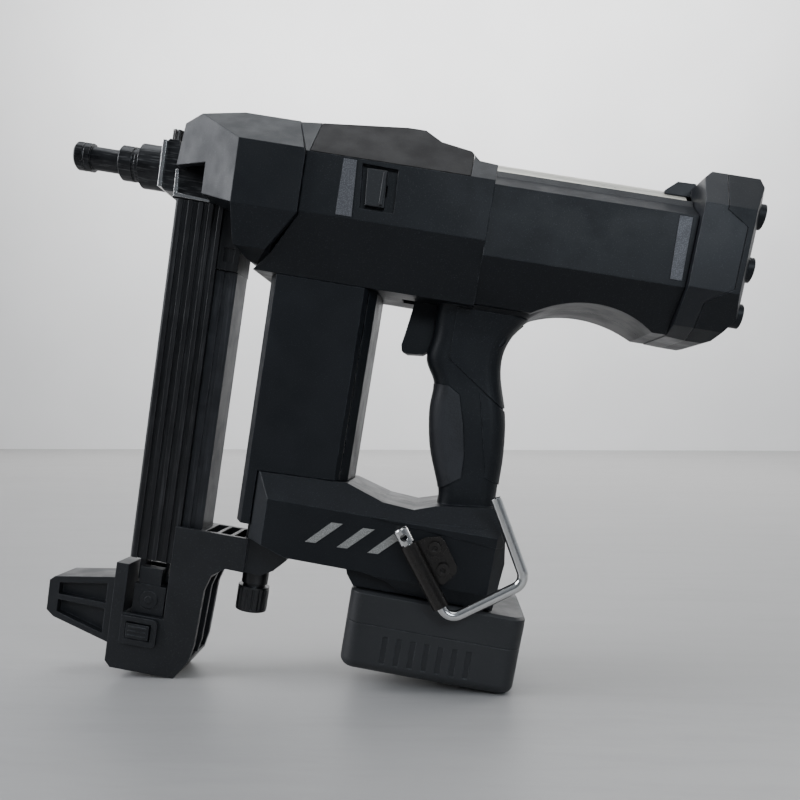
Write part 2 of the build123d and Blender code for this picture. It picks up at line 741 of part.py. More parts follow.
with BuildPart() as front_plug:
    rod_x(CHAMBER_BORE_R - 0.1, CHAMBER_FRONT + 0.5, 250)
    rod_x(CYLINDER_R + 0.1, CHAMBER_FRONT, 251, mode=Mode.SUBTRACT)
save(front_plug.part, "chamber_front_plug")

with BuildPart() as rear_plug:
    rod_x(CHAMBER_BORE_R - 0.1, 338, CHAMBER_REAR)
    rod_x(4, CHAMBER_REAR, 357)
    rod_x(1.2, 345, 358, mode=Mode.SUBTRACT)
save(rear_plug.part, "chamber_rear_plug")

# Driver: piston, toothed blade and round tip.
with BuildPart() as piston:
    rod_x(PISTON_R, PISTON_X, PISTON_X + PISTON_LENGTH)
    for groove_x in (PISTON_X + 3, PISTON_X + 9):
        rod_x(PISTON_R + 1, groove_x, groove_x + 2, mode=Mode.SUBTRACT)
        rod_x(PISTON_R - 1.5, groove_x - 0.1, groove_x + 2.1)
save(piston.part, "drive_piston")

with BuildPart() as driver_blade:
    rod_x(DRIVER_ROD_R, DRIVER_TIP_X, BLADE_FRONT_X)
    block(BLADE_FRONT_X, PISTON_X - 0.1, BLADE_HALF, -BLADE_HEIGHT / 2, BLADE_HEIGHT / 2)
    for tooth in range(PIN_COUNT + 1):
        tooth_x = MOTOR_X + (tooth - 0.5) * TOOTH_PITCH
        block(tooth_x - 2, tooth_x + 2, BLADE_HALF, TOOTH_BOTTOM_Z, -BLADE_HEIGHT / 2 + 0.5)
save(driver_blade.part, "driver_blade")

# Lifter wheel: two discs joined by the lifting pins, on a cross shaft.
DISC_INNER = BLADE_HALF + 0.6
DISC_OUTER = 6.5
DISC_R = PIN_CIRCLE_R + 3.5
with BuildPart() as lifter_wheel:
    rod_y(LIFTER_SHAFT_R, MOTOR_X, LIFTER_Z, -12.5, 12.5)
    rod_y(10, MOTOR_X, LIFTER_Z, -DISC_OUTER, DISC_OUTER)
    rod_y(DISC_R, MOTOR_X, LIFTER_Z, DISC_INNER, DISC_OUTER)
    rod_y(DISC_R, MOTOR_X, LIFTER_Z, -DISC_OUTER, -DISC_INNER)
    for pin in range(PIN_COUNT):
        pin_angle = radians(pin * PIN_STEP_DEG)
        pin_x = MOTOR_X + PIN_CIRCLE_R * sin(pin_angle)
        pin_z = LIFTER_Z + PIN_CIRCLE_R * cos(pin_angle)
        rod_y(LIFTER_PIN_R, pin_x, pin_z, -DISC_OUTER, DISC_OUTER)
save(lifter_wheel.part, "lifter_wheel")

# Gearbox with the two cheeks that carry the lifter's shaft.
with BuildPart() as gearbox:
    rod_z(GEARBOX_R, MOTOR_X, GEARBOX_BOTTOM, GEARBOX_TOP)
    rod_z(GEARBOX_R + 1.0, MOTOR_X, GEARBOX_BOTTOM + 4, GEARBOX_BOTTOM + 8, mode=Mode.SUBTRACT)
    rod_z(GEARBOX_R - 1.5, MOTOR_X, GEARBOX_BOTTOM + 3.9, GEARBOX_BOTTOM + 8.1)
    for side in (-1, 1):
        block(MOTOR_X - 11, MOTOR_X + 11, CHEEK_HALF, GEARBOX_TOP - 0.5, CHEEK_TOP,
              middle=side * CHEEK_CENTRE_Y)
    rod_y(LIFTER_SHAFT_R + RUNNING, MOTOR_X, LIFTER_Z, -14, 14, mode=Mode.SUBTRACT)
save(gearbox.part, "gearbox_case")

with BuildPart() as motor_can:
    rod_z(MOTOR_R, MOTOR_X, MOTOR_BOTTOM, MOTOR_TOP)
    rod_z(MOTOR_BORE_R, MOTOR_X, MOTOR_BOTTOM + 3, MOTOR_TOP - 3, mode=Mode.SUBTRACT)
    rod_z(ROTOR_SHAFT_R + SEAM, MOTOR_X, MOTOR_BOTTOM - 1, MOTOR_TOP + 1.5, mode=Mode.SUBTRACT)
save(motor_can.part, "motor_can")

with BuildPart() as motor_rotor:
    rod_z(ROTOR_SHAFT_R, MOTOR_X, FAN_PLATE_Z - 8, MOTOR_TOP + 1.1)
    rod_z(ROTOR_R, MOTOR_X, MOTOR_BOTTOM + 6, MOTOR_TOP - 6.5)
    rod_z(FAN_R, MOTOR_X, FAN_PLATE_Z, FAN_PLATE_Z + 2.5)
    with BuildSketch(Plane.XY.offset(FAN_PLATE_Z - 7)) as fan_blades:
        with Locations((MOTOR_X, 0)):
            with PolarLocations(13, 9):
                Rectangle(14, 1.4)
    extrude(fan_blades.sketch, amount=FAN_BLADE_DEPTH)
save(motor_rotor.part, "motor_rotor")

# Trigger on its pin, and the switch behind it.
with BuildPart() as trigger:
    with BuildSketch(Plane.XZ) as trigger_side:
        with BuildLine():
            Spline((213, -47), (211.2, -62), (208.8, -77.5))
            Polyline((208.8, -77.5), (209.6, -80.8), (212.5, -82), (222, -81), (228, -76))
            Polyline((228, -76), (229, -50), (229, -39))
            Polyline((229, -39), (217, -39), (215.5, -45.5), (213, -47))
        make_face()
    extrude(trigger_side.sketch, amount=TRIGGER_HALF, both=True)
    fillet(trigger.edges().filter_by(Axis.Y).group_by(Axis.Z)[0], 1.2)
    rod_y(TRIGGER_PIN_R + RUNNING, PIVOT_X, PIVOT_Z, -10, 10, mode=Mode.SUBTRACT)
save(trigger.part, "trigger")

with BuildPart() as trigger_pin:
    rod_y(TRIGGER_PIN_R, PIVOT_X, PIVOT_Z, -TRIGGER_HALF - 4, TRIGGER_HALF + 4)
save(trigger_pin.part, "trigger_pin")

with BuildPart() as trigger_switch:
    block(238, 256.5, 9, -78, -54)
    rod_x(2.2, 234.5, 238.5, z=-66)
save(trigger_switch.part, "trigger_switch")

with BuildPart() as control_board:
    block(160, 222, 30, -194, -192)
    block(170, 186, 8, -192, -184)
    for capacitor_x in (196, 208):
        rod_z(4.5, capacitor_x, -192, -180)
save(control_board.part, "control_board")

# Magazine: ribbed front extrusion, plain rear rail and a head block under the nose.

with BuildPart() as magazine_extrusion:
    block(MAG_FRONT, MAG_SPLIT, MAG_HALF, MAG_BOTTOM, MAG_TOP)
    block(CHANNEL_FRONT, MAG_SPLIT + 1, CHANNEL_HALF, MAG_BOTTOM - 1, MAG_TOP + 1, mode=Mode.SUBTRACT)
    for side in (-1, 1):
        for groove_x in GROOVE_FRONTS:
            block(groove_x, groove_x + GROOVE_WIDTH, GROOVE_DEPTH, -300, 0, middle=side * MAG_HALF,
                  mode=Mode.SUBTRACT)
    chamfer(magazine_extrusion.edges().filter_by(Axis.Z).group_by(Axis.X)[0], 1.5)
save(magazine_extrusion.part, "magazine_extrusion")

RAIL_TOP = -53.0
with BuildPart() as magazine_rail:
    block(MAG_SPLIT + PRESS, MAG_REAR, MAG_RAIL_HALF, MAG_BOTTOM, RAIL_TOP)
    block(MAG_SPLIT, CHANNEL_REAR, CHANNEL_HALF, MAG_BOTTOM - 1, RAIL_TOP + 1, mode=Mode.SUBTRACT)
    for side in (-1, 1):
        block(101.5, 104.5, 1.0, -300, 0, middle=side * MAG_RAIL_HALF, mode=Mode.SUBTRACT)
save(magazine_rail.part, "magazine_rear_rail")

with BuildPart() as magazine_head:
    block(MAG_SPLIT + PRESS, MAG_REAR, MAG_HEAD_HALF, RAIL_TOP + 0.2, MAG_TOP)
    block(MAG_SPLIT, CHANNEL_REAR, CHANNEL_HALF, -60, 0, mode=Mode.SUBTRACT)
    for side in (-1, 1):
        block(100, 106, 1.0, -48, -40, middle=side * MAG_HEAD_HALF, mode=Mode.SUBTRACT)
save(magazine_head.part, "magazine_head_block")

# Magazine foot: front wall, rear sleeve round the magazine, solid sole and the arm to the tool's foot.
MAG_FOOT_SIDE = [
    (62.5, -232),
    (70, -232),
    (70, WINDOW_BOTTOM),
    (95, WINDOW_BOTTOM),
    (95, -204.3),
    (138, -204.3),
    (141.5, -202.8),
    (152, -203.6),
    (163, -207.6),
    (163, -213.5),
    (156, -221),
    (149, -225),
    (128, -224.5),
    (120, -230),
    (117, -240),
    (115.5, -275),
    (113.5, -285),
    (105.5, MAG_FOOT_BOTTOM),
    (66, MAG_FOOT_BOTTOM),
    (62.5, -293.5),
]
with BuildPart() as magazine_foot:
    side_prism(MAG_FOOT_SIDE, MAG_FOOT_HALF)
    # Seats of the magazine and the follower.
    block(94, MAG_REAR + PRESS, MAG_HALF + PRESS, WINDOW_TOP, -200, mode=Mode.SUBTRACT)
    block(CHANNEL_FRONT, CHANNEL_REAR, CHANNEL_HALF, FOOT_SEAT_BOTTOM, -200, mode=Mode.SUBTRACT)
    # Ribbed pocket on top of the arm, and two pockets at the back with a rib between them.
    for pocket_x in FOOT_POCKET_FRONTS:
        block(pocket_x, pocket_x + FOOT_POCKET_LENGTH, FOOT_POCKET_HALF, -214, -200, mode=Mode.SUBTRACT)
    pocket_half = (FOOT_POCKET_HALF - CENTRE_RIB_HALF) / 2
    for side in (-1, 1):
        block(REAR_POCKET_FRONT, 126, pocket_half, REAR_POCKET_BOTTOM, REAR_POCKET_TOP,
              middle=side * (CENTRE_RIB_HALF + pocket_half), mode=Mode.SUBTRACT)
        block(139, 165, 1.5, -225, -200, middle=side * MAG_FOOT_HALF, mode=Mode.SUBTRACT)
    # Seat of the clamp boss, the knob's bolt and the release button.
    block(136.2, 165, CLAMP_BOSS_HALF + 0.4, CLAMP_BOSS_BOTTOM - 0.2, -200, mode=Mode.SUBTRACT)
    rod_z(KNOB_BOLT_R + PRESS, KNOB_X, -230, -205, mode=Mode.SUBTRACT)
    block(BUTTON_FRONT - BUTTON_GAP, BUTTON_REAR + BUTTON_GAP, 6.0, BUTTON_BOTTOM - BUTTON_GAP,
          BUTTON_TOP + BUTTON_GAP, middle=-MAG_FOOT_HALF, mode=Mode.SUBTRACT)
save(magazine_foot.part, "magazine_foot")

with BuildPart() as clamp_boss:
    block(136.5, 157.7, CLAMP_BOSS_HALF, CLAMP_BOSS_BOTTOM, -193.4)
    block(FOOT_FRONT + 0.2, 157.7, CLAMP_BOSS_HALF, -193.5, -188.3)
    rod_z(KNOB_BOLT_R + PRESS, KNOB_X, CLAMP_BOSS_BOTTOM - 1, KNOB_BOLT_TOP + 0.5, mode=Mode.SUBTRACT)
save(clamp_boss.part, "magazine_clamp_boss")

with BuildPart() as clamp_knob:
    rod_z(KNOB_BOLT_R, KNOB_X, KNOB_TOP - 1, KNOB_BOLT_TOP)
    rod_z(KNOB_COLLAR_R, KNOB_X, KNOB_TOP + 1.7, -225.4)
    rod_z(KNOB_NECK_R, KNOB_X, KNOB_TOP - 1, KNOB_TOP + 2)
    rod_z(KNOB_R, KNOB_X, KNOB_BOTTOM, KNOB_TOP)
    with BuildSketch(Plane.XY.offset(KNOB_BOTTOM + 1.5)) as knob_grooves:
        with Locations((KNOB_X, 0)):
            with PolarLocations(KNOB_R + 0.2, KNOB_GROOVES):
                Circle(0.9)
    extrude(knob_grooves.sketch, amount=12.5, mode=Mode.SUBTRACT)
    fillet(clamp_knob.edges().filter_by(GeomType.CIRCLE).group_by(Axis.Z)[0], 0.8)
save(clamp_knob.part, "magazine_clamp_knob")

with BuildPart() as follower:
    block(FOLLOWER_FRONT, FOLLOWER_REAR, FOLLOWER_HALF, FOLLOWER_BOTTOM, FOLLOWER_TOP)
    block(FOLLOWER_FRONT + 4, FOLLOWER_REAR - 4, FOLLOWER_HALF, -238, -226, mode=Mode.SUBTRACT)
    block(88, 90, FOLLOWER_HALF, -239, -225)
save(follower.part, "pin_follower")

with BuildPart() as drum_case:
    block(73.5, 93, 13, WINDOW_BOTTOM + 0.2, FOOT_SEAT_BOTTOM - 0.1)
    for side in (-1, 1):
        block(75.6, 89.2, 3.5, -244, -233, middle=side * 8.7)
    rod_y(DRUM_R, DRUM_X, DRUM_Z, -13.6, 13.6)
    rod_y(DRUM_PIN_R, DRUM_X, DRUM_Z, -14.2, 14.2)
save(drum_case.part, "follower_spring_case")

BEZEL_Y = -MAG_FOOT_HALF - BEZEL_HALF_DEPTH - PRESS
with BuildPart() as release_bezel:
    block(BUTTON_FRONT - 4, BUTTON_REAR + 4.5, BEZEL_HALF_DEPTH, BUTTON_BOTTOM - 4.5, BUTTON_TOP + 4,
          middle=BEZEL_Y)
    block(BUTTON_FRONT - 0.8, BUTTON_REAR + 0.8, 3, BUTTON_BOTTOM - 0.8, BUTTON_TOP + 0.8, middle=BEZEL_Y,
          mode=Mode.SUBTRACT)
    fillet(release_bezel.edges().filter_by(Axis.Y).group_by(Axis.X)[-1], 3.0)
save(release_bezel.part, "release_bezel")

with BuildPart() as release_button:
    block(BUTTON_FRONT, BUTTON_REAR, BUTTON_HALF_DEPTH, BUTTON_BOTTOM, BUTTON_TOP,
          middle=-MAG_FOOT_HALF + 0.3)
    for rib_z in (-274.2, -271.5, -268.8):
        block(75.5, 86.5, 0.3, rib_z - 0.4, rib_z + 0.4, middle=-MAG_FOOT_HALF - 3.2)
save(release_button.part, "follower_release_button")

# Support foot: a wing that stands level with the pressed-in muzzle.
WING_FRONT = CONTACT_FRONT + CONTACT_TRAVEL + 1.4
WING_REAR = 62.3
WING_HALF = 14.0
WING_POCKET_DEPTH = 5.5
WING_SIDE = [
    (WING_FRONT, -250.8),
    (24.6, -248.2),
    (WING_REAR, -242.0),
    (WING_REAR, -283.3),
    (26.2, -273.1),
    (WING_FRONT, -269.5),
]
UPPER_WING_POCKET = [(28, -251.5), (57.5, -246.6), (57.5, -259.2), (28, -258.6)]
LOWER_WING_POCKET = [(28, -262), (57.5, -262.7), (57.5, -278.2), (28, -269.8)]
with BuildPart() as support_foot:
    side_prism(WING_SIDE, WING_HALF)
    for side in (-1, 1):
        for pocket in (UPPER_WING_POCKET, LOWER_WING_POCKET):
            side_prism(pocket, WING_POCKET_DEPTH, middle=side * WING_HALF, mode=Mode.SUBTRACT)
save(support_foot.part, "support_foot")

# Rear ring with its fin, and the rear cap.

CAP_SECTION = mirrored([
    (20, 38.7),
    (37, 33.5),
    (CAP_HALF, 14),
    (CAP_HALF, -28),
    (37, -46),
    (24, -51.5),
])
SEAM_LINE = [(364, 12), (375.5, 5), (375.5, -26), (363, -34)]
RING_SIDE = [(BARREL_END + SEAM, 29.5), (360.5, 38.7), (364, 38.7)] + SEAM_LINE
RING_SIDE = RING_SIDE + [(363, -51.5), (BARREL_END + SEAM, -51)]
CAP_SEAM_LINE = [(x + SEAM, z) for x, z in reversed(SEAM_LINE)]
CAP_SIDE = [(364 + SEAM, 38.7), (376, 38.7), (380, 36), (383, 28), (CAP_END, 18), (CAP_END, -28), (383, -38)]
CAP_SIDE = CAP_SIDE + [(376, -50), (372, -51.5), (363 + SEAM, -51.5)] + CAP_SEAM_LINE
CAP_PLAN = [
    (350, -CAP_HALF),
    (378.5, -CAP_HALF),
    (CAP_END, -38),
    (CAP_END, 38),
    (378.5, CAP_HALF),
    (350, CAP_HALF),
]
SADDLE_SIDE = [(338, 24), (338, 27), (344, 32.3), (354, 32.5), (354, 24)]
CAP_BOLTS = [(side * y, z) for side in (-1, 1) for y, z in ((33, 16), (33, -11.5), (31, -35.5))]
CAP_BOLT_R = 2.5
CAP_BOLT_FRONT = 366.0
CAP_BOLT_HEAD_R = 3.9
CAP_BOLT_HEAD_X = 384.6
CAP_BOSS_R = 6.5
CAP_BOSS_END = 387.0
TOP_BOLTS = [(-21, 29), (21, 29)]
TOP_BOLT_HEAD_X = 381.0

with BuildPart() as rear_ring:
    side_prism(RING_SIDE, 60)
    cross_prism(CAP_SECTION, 350, 400, mode=Mode.INTERSECT)
    side_prism(SADDLE_SIDE, 17)
    rod_x(CHAMBER_R + SEAM, 330, 380, mode=Mode.SUBTRACT)
    for bolt_y, bolt_z in CAP_BOLTS:
        rod_x(CAP_BOLT_R + 0.1, CAP_BOLT_FRONT - 1, 380, y=bolt_y, z=bolt_z, mode=Mode.SUBTRACT)
save(rear_ring.part, "rear_ring")

with BuildPart() as rear_cap:
    side_prism(CAP_SIDE, 60)
    cross_prism(CAP_SECTION, 350, 400, mode=Mode.INTERSECT)
    plan_prism(CAP_PLAN, -60, 60, mode=Mode.INTERSECT)
    rod_x(CHAMBER_R, 355, 374, mode=Mode.SUBTRACT)
    # A shallow panel with ribs on the back.
    block(CAP_END - 2, CAP_END + 4, 16, -22, 16, mode=Mode.SUBTRACT)
    for rib_z in (-14, -4, 6):
        block(CAP_END - 2.5, CAP_END - 0.5, 16.5, rib_z - 1.2, rib_z + 1.2)
    # Bolt bosses with their holes and seats.
    for bolt_y, bolt_z in CAP_BOLTS:
        rod_x(CAP_BOSS_R, 376, CAP_BOSS_END, y=bolt_y, z=bolt_z)
        rod_x(CAP_BOLT_R + 0.1, CAP_BOLT_FRONT - 1, 390, y=bolt_y, z=bolt_z, mode=Mode.SUBTRACT)
        rod_x(CAP_BOLT_HEAD_R + SEAM, CAP_BOLT_HEAD_X, 390, y=bolt_y, z=bolt_z, mode=Mode.SUBTRACT)
    for bolt_y, bolt_z in TOP_BOLTS:
        rod_x(1.6, 369, 390, y=bolt_y, z=bolt_z, mode=Mode.SUBTRACT)
        rod_x(3.4, TOP_BOLT_HEAD_X - 0.2, 390, y=bolt_y, z=bolt_z, mode=Mode.SUBTRACT)
save(rear_cap.part, "rear_cap")

with BuildPart() as cap_bolts:
    for bolt_y, bolt_z in CAP_BOLTS:
        rod_x(CAP_BOLT_R, CAP_BOLT_FRONT, CAP_BOLT_HEAD_X + 0.4, y=bolt_y, z=bolt_z)
        rod_x(CAP_BOLT_HEAD_R, CAP_BOLT_HEAD_X, CAP_BOSS_END + 0.4, y=bolt_y, z=bolt_z)
        with BuildSketch(Plane.YZ.offset(CAP_BOSS_END + 0.4)) as bolt_socket:
            with Locations((bolt_y, bolt_z)):
                RegularPolygon(2.2, 6)
        extrude(bolt_socket.sketch, amount=-1.8, mode=Mode.SUBTRACT)
    for bolt_y, bolt_z in TOP_BOLTS:
        rod_x(1.5, 370, TOP_BOLT_HEAD_X + 0.5, y=bolt_y, z=bolt_z)
        rod_x(3.1, TOP_BOLT_HEAD_X, 386.5, y=bolt_y, z=bolt_z)
        with BuildSketch(Plane.YZ.offset(386.5)) as top_bolt_socket:
            with Locations((bolt_y, bolt_z)):
                RegularPolygon(1.7, 6)
        extrude(top_bolt_socket.sketch, amount=-2, mode=Mode.SUBTRACT)
save(cap_bolts.part, "rear_cap_bolts")

# Rafter hook.

HOOK_AXIS = Vector(HOOK_ELBOW[0] - HOOK_TOP[0], 0, HOOK_ELBOW[1] - HOOK_TOP[1]).normalized()


def hook_point(along):
    """A point on the hook's swivel axis, at a distance below the top end."""
    return (HOOK_TOP[0] + along * HOOK_AXIS.X, HOOK_Y, HOOK_TOP[1] + along * HOOK_AXIS.Z)


def hook_plane(along):
    """A plane square to the swivel axis."""
    return Plane(origin=hook_point(along), x_dir=(0, 1, 0), z_dir=tuple(HOOK_AXIS))


BRACKET_SIDE = [(233.5, -187), (242, -181), (250, -179), (253, -181), (262, -194), (262, -197.5)]
BRACKET_SIDE = BRACKET_SIDE + [(256.5, -205), (249, -206)]
BRACKET_SCREWS = [(248.0, -185.5), (254.5, -196.5)]
BRACKET_FACE_Y = -43.8
HOOK_ROD_START = 2.0
HOOK_END_R = 4.3
HOOK_HOLE_ALONG = -0.8
with BuildPart() as hook_bracket:
    side_prism(BRACKET_SIDE, 1.75, middle=-42.05)
    with BuildSketch(hook_plane(4)) as tube_section:
        Circle(HOOK_TUBE_R)
    extrude(tube_section.sketch, amount=39)
    with BuildSketch(hook_plane(0)) as tube_bore:
        Circle(ROD_R + RUNNING)
    extrude(tube_bore.sketch, amount=50, mode=Mode.SUBTRACT)
save(hook_bracket.part, "hook_bracket")

with BuildPart() as bracket_screws:
    for screw_x, screw_z in BRACKET_SCREWS:
        rod_y(3.5, screw_x, screw_z, BRACKET_FACE_Y - 3.4, BRACKET_FACE_Y)
        with BuildSketch(Plane.XZ.offset(-BRACKET_FACE_Y + 3.4)) as hex_socket:
            with Locations((screw_x, screw_z)):
                RegularPolygon(1.7, 6)
        extrude(hex_socket.sketch, amount=-2.2, mode=Mode.SUBTRACT)
save(bracket_screws.part, "hook_bracket_screws")

with BuildPart() as hook_rod:
    with BuildLine() as hook_path:
        FilletPolyline(
            hook_point(HOOK_ROD_START),
            (HOOK_ELBOW[0], HOOK_Y, HOOK_ELBOW[1]),
            (HOOK_CORNER[0], HOOK_Y, HOOK_CORNER[1]),
            (HOOK_TIP[0], HOOK_Y, HOOK_TIP[1]),
            radius=7.5,
        )
    with BuildSketch(hook_plane(HOOK_ROD_START)) as hook_section:
        Circle(ROD_R)
    sweep(hook_section.sketch, path=hook_path.line)
save(hook_rod.part, "rafter_hook_rod")

with BuildPart() as hook_end:
    with BuildSketch(hook_plane(-6)) as end_section:
        Circle(HOOK_END_R)
    extrude(end_section.sketch, amount=9)
    with BuildSketch(hook_plane(HOOK_ROD_START - 0.1)) as end_socket:
        Circle(ROD_R + RUNNING)
    extrude(end_socket.sketch, amount=4, mode=Mode.SUBTRACT)
    chamfer(hook_end.edges().filter_by(GeomType.CIRCLE).sort_by(Axis.Z)[-1], 0.8)
    hole_centre = hook_point(HOOK_HOLE_ALONG)
    rod_y(2.0, hole_centre[0], hole_centre[2], -60, -36, mode=Mode.SUBTRACT)
save(hook_end.part, "hook_end_piece")

# Battery pack on its rail.

RAIL_FRONT = 236.0
RAIL_REAR = 286.0
RAIL_NECK_HALF = 22.0
RAIL_FLANGE_HALF = 27.0
RAIL_PLAY = 0.6
with BuildPart() as battery_rail:
    block(RAIL_FRONT, RAIL_REAR, RAIL_NECK_HALF, -220.0, FOOT_BOTTOM - PRESS)
    block(RAIL_FRONT, RAIL_REAR, RAIL_FLANGE_HALF, -221.8, -219.9)
    for blade_y in (-14, -5, 5, 14):
        block(RAIL_FRONT - 10, RAIL_FRONT + 1, 0.5, -221.6, -217.6, middle=blade_y)
save(battery_rail.part, "battery_rail_block")

with BuildPart() as pack_outer:
    with BuildSketch(Plane.XY.offset(PACK_BOTTOM)):
        with Locations(((PACK_FRONT + PACK_REAR) / 2, 0)):
            RectangleRounded(PACK_REAR - PACK_FRONT, 2 * PACK_HALF, 9)
    extrude(amount=PACK_TOP - PACK_BOTTOM)
    fillet(pack_outer.faces().sort_by(Axis.Z)[0].edges(), PACK_EDGE_R)
    chamfer(pack_outer.faces().sort_by(Axis.Z)[-1].edges(), 1.5)
    with BuildSketch(Plane.XY.offset(PACK_BOTTOM + PACK_FLOOR)) as pack_room:
        with Locations(((PACK_FRONT + PACK_REAR) / 2, 0)):
            RectangleRounded(PACK_REAR - PACK_FRONT - 5.4, 2 * (PACK_HALF - PACK_WALL), 3.5)
    extrude(pack_room.sketch, amount=37.3, mode=Mode.SUBTRACT)

with BuildPart() as pack_upper:
    add(pack_outer.part)
    block(200, 310, 50, PACK_SPLIT, -210, mode=Mode.INTERSECT)
    block(200, RAIL_REAR + 0.5, RAIL_NECK_HALF + RAIL_PLAY, -221, -210, mode=Mode.SUBTRACT)
    block(200, RAIL_REAR + 0.5, RAIL_FLANGE_HALF + RAIL_PLAY, -222.4, -219.4, mode=Mode.SUBTRACT)
    block(302, 309, 13.5, -235, -225.5, mode=Mode.SUBTRACT)
save(pack_upper.part, "battery_upper_case")

with BuildPart() as pack_lower:
    add(pack_outer.part)
    block(200, 310, 50, -270, PACK_SPLIT - 0.2, mode=Mode.INTERSECT)
    for side in (-1, 1):
        for rib in range(PACK_RIBS):
            rib_x = 228 + 8 * rib
            block(rib_x, rib_x + 3, 0.8, -258, -242, middle=side * PACK_HALF, mode=Mode.SUBTRACT)
save(pack_lower.part, "battery_lower_case")

with BuildPart() as cells:
    for column_index in range(5):
        for row_index in range(2):
            cell_x = (PACK_FRONT + PACK_REAR) / 2 + (column_index - 2) * CELL_PITCH
            cell_z = -252.6 + row_index * CELL_PITCH
            rod_y(CELL_R, cell_x, cell_z, -CELL_LENGTH / 2, CELL_LENGTH / 2)
save(cells.part, "battery_cells")

with BuildPart() as pack_button:
    block(304.3, 308.4, 12.8, -234.4, -226.1)
    fillet(pack_button.edges().filter_by(Axis.X), 2)
save(pack_button.part, "battery_release_button")
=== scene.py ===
import json
import math

import bmesh
import bpy
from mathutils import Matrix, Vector


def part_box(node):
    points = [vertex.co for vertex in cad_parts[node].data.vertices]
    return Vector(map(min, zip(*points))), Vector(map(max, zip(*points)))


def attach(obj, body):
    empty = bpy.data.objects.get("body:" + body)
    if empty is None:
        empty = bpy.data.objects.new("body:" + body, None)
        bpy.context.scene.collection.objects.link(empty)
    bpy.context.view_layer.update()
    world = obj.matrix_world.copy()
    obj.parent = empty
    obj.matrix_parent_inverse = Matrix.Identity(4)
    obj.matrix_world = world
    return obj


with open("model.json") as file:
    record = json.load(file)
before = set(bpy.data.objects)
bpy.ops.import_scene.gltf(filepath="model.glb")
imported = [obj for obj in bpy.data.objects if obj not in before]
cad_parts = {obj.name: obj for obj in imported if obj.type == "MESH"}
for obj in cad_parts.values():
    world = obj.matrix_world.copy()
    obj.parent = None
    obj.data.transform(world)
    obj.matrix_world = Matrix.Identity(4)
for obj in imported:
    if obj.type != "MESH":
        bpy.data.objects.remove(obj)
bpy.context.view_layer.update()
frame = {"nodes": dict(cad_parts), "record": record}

MM = 0.001


# The tool's own frame: x along the drive axis from the nose to the tail, y to its right, z up, in mm.

LEAN = math.radians(9.6)
ALONG = Vector((math.cos(LEAN), 0, -math.sin(LEAN)))
ACROSS = Vector((0, 1, 0))
UPWARD = Vector((math.sin(LEAN), 0, math.cos(LEAN)))
COLUMN_FRONT = 131.0


def tool_origin():
    """The origin on the drive axis, from the column's front and from the drive cylinder's axis."""
    column = [vertex.co.dot(ALONG) for vertex in frame["nodes"]["left_column_half"].data.vertices]
    cylinder = [vertex.co.dot(UPWARD) for vertex in frame["nodes"]["drive_cylinder"].data.vertices]
    return (min(column) - COLUMN_FRONT * MM) * ALONG + (min(cylinder) + max(cylinder)) / 2 * UPWARD


ORIGIN = tool_origin()


def at(x, y, z):
    """A point given in the tool's own frame, in the frame that the CAD nodes are in."""
    return ORIGIN + MM * (x * ALONG + y * ACROSS + z * UPWARD)


# Materials.

MIX_COLOURS_IN = (6, 7)
MIX_COLOUR_OUT = 2


class Nodes:
    """Short ways to add nodes to one node tree."""

    def __init__(self, tree):
        self.tree = tree

    def add(self, kind, **values):
        """A new node, with constants on the inputs that are named with underscores for spaces."""
        node = self.tree.nodes.new("ShaderNode" + kind)
        for name, value in values.items():
            node.inputs[name.replace("_", " ")].default_value = value
        return node

    def link(self, source, target):
        self.tree.links.new(source, target)

    def spread(self, value, band, result=(0.0, 1.0)):
        """A smooth step between the two results while value crosses the band."""
        node = self.add("MapRange", From_Min=band[0], From_Max=band[1], To_Min=result[0], To_Max=result[1])
        node.interpolation_type = "SMOOTHSTEP"
        self.link(value, node.inputs["Value"])
        return node.outputs["Result"]

    def mix(self, share, first, second):
        """Two colours, or two colour outputs, mixed by share."""
        node = self.add("Mix")
        node.data_type = "RGBA"
        self.link(share, node.inputs["Factor"])
        for socket, value in zip(MIX_COLOURS_IN, (first, second)):
            if isinstance(value, tuple):
                node.inputs[socket].default_value = (*value, 1)
            else:
                self.link(value, node.inputs[socket])
        return node.outputs[MIX_COLOUR_OUT]


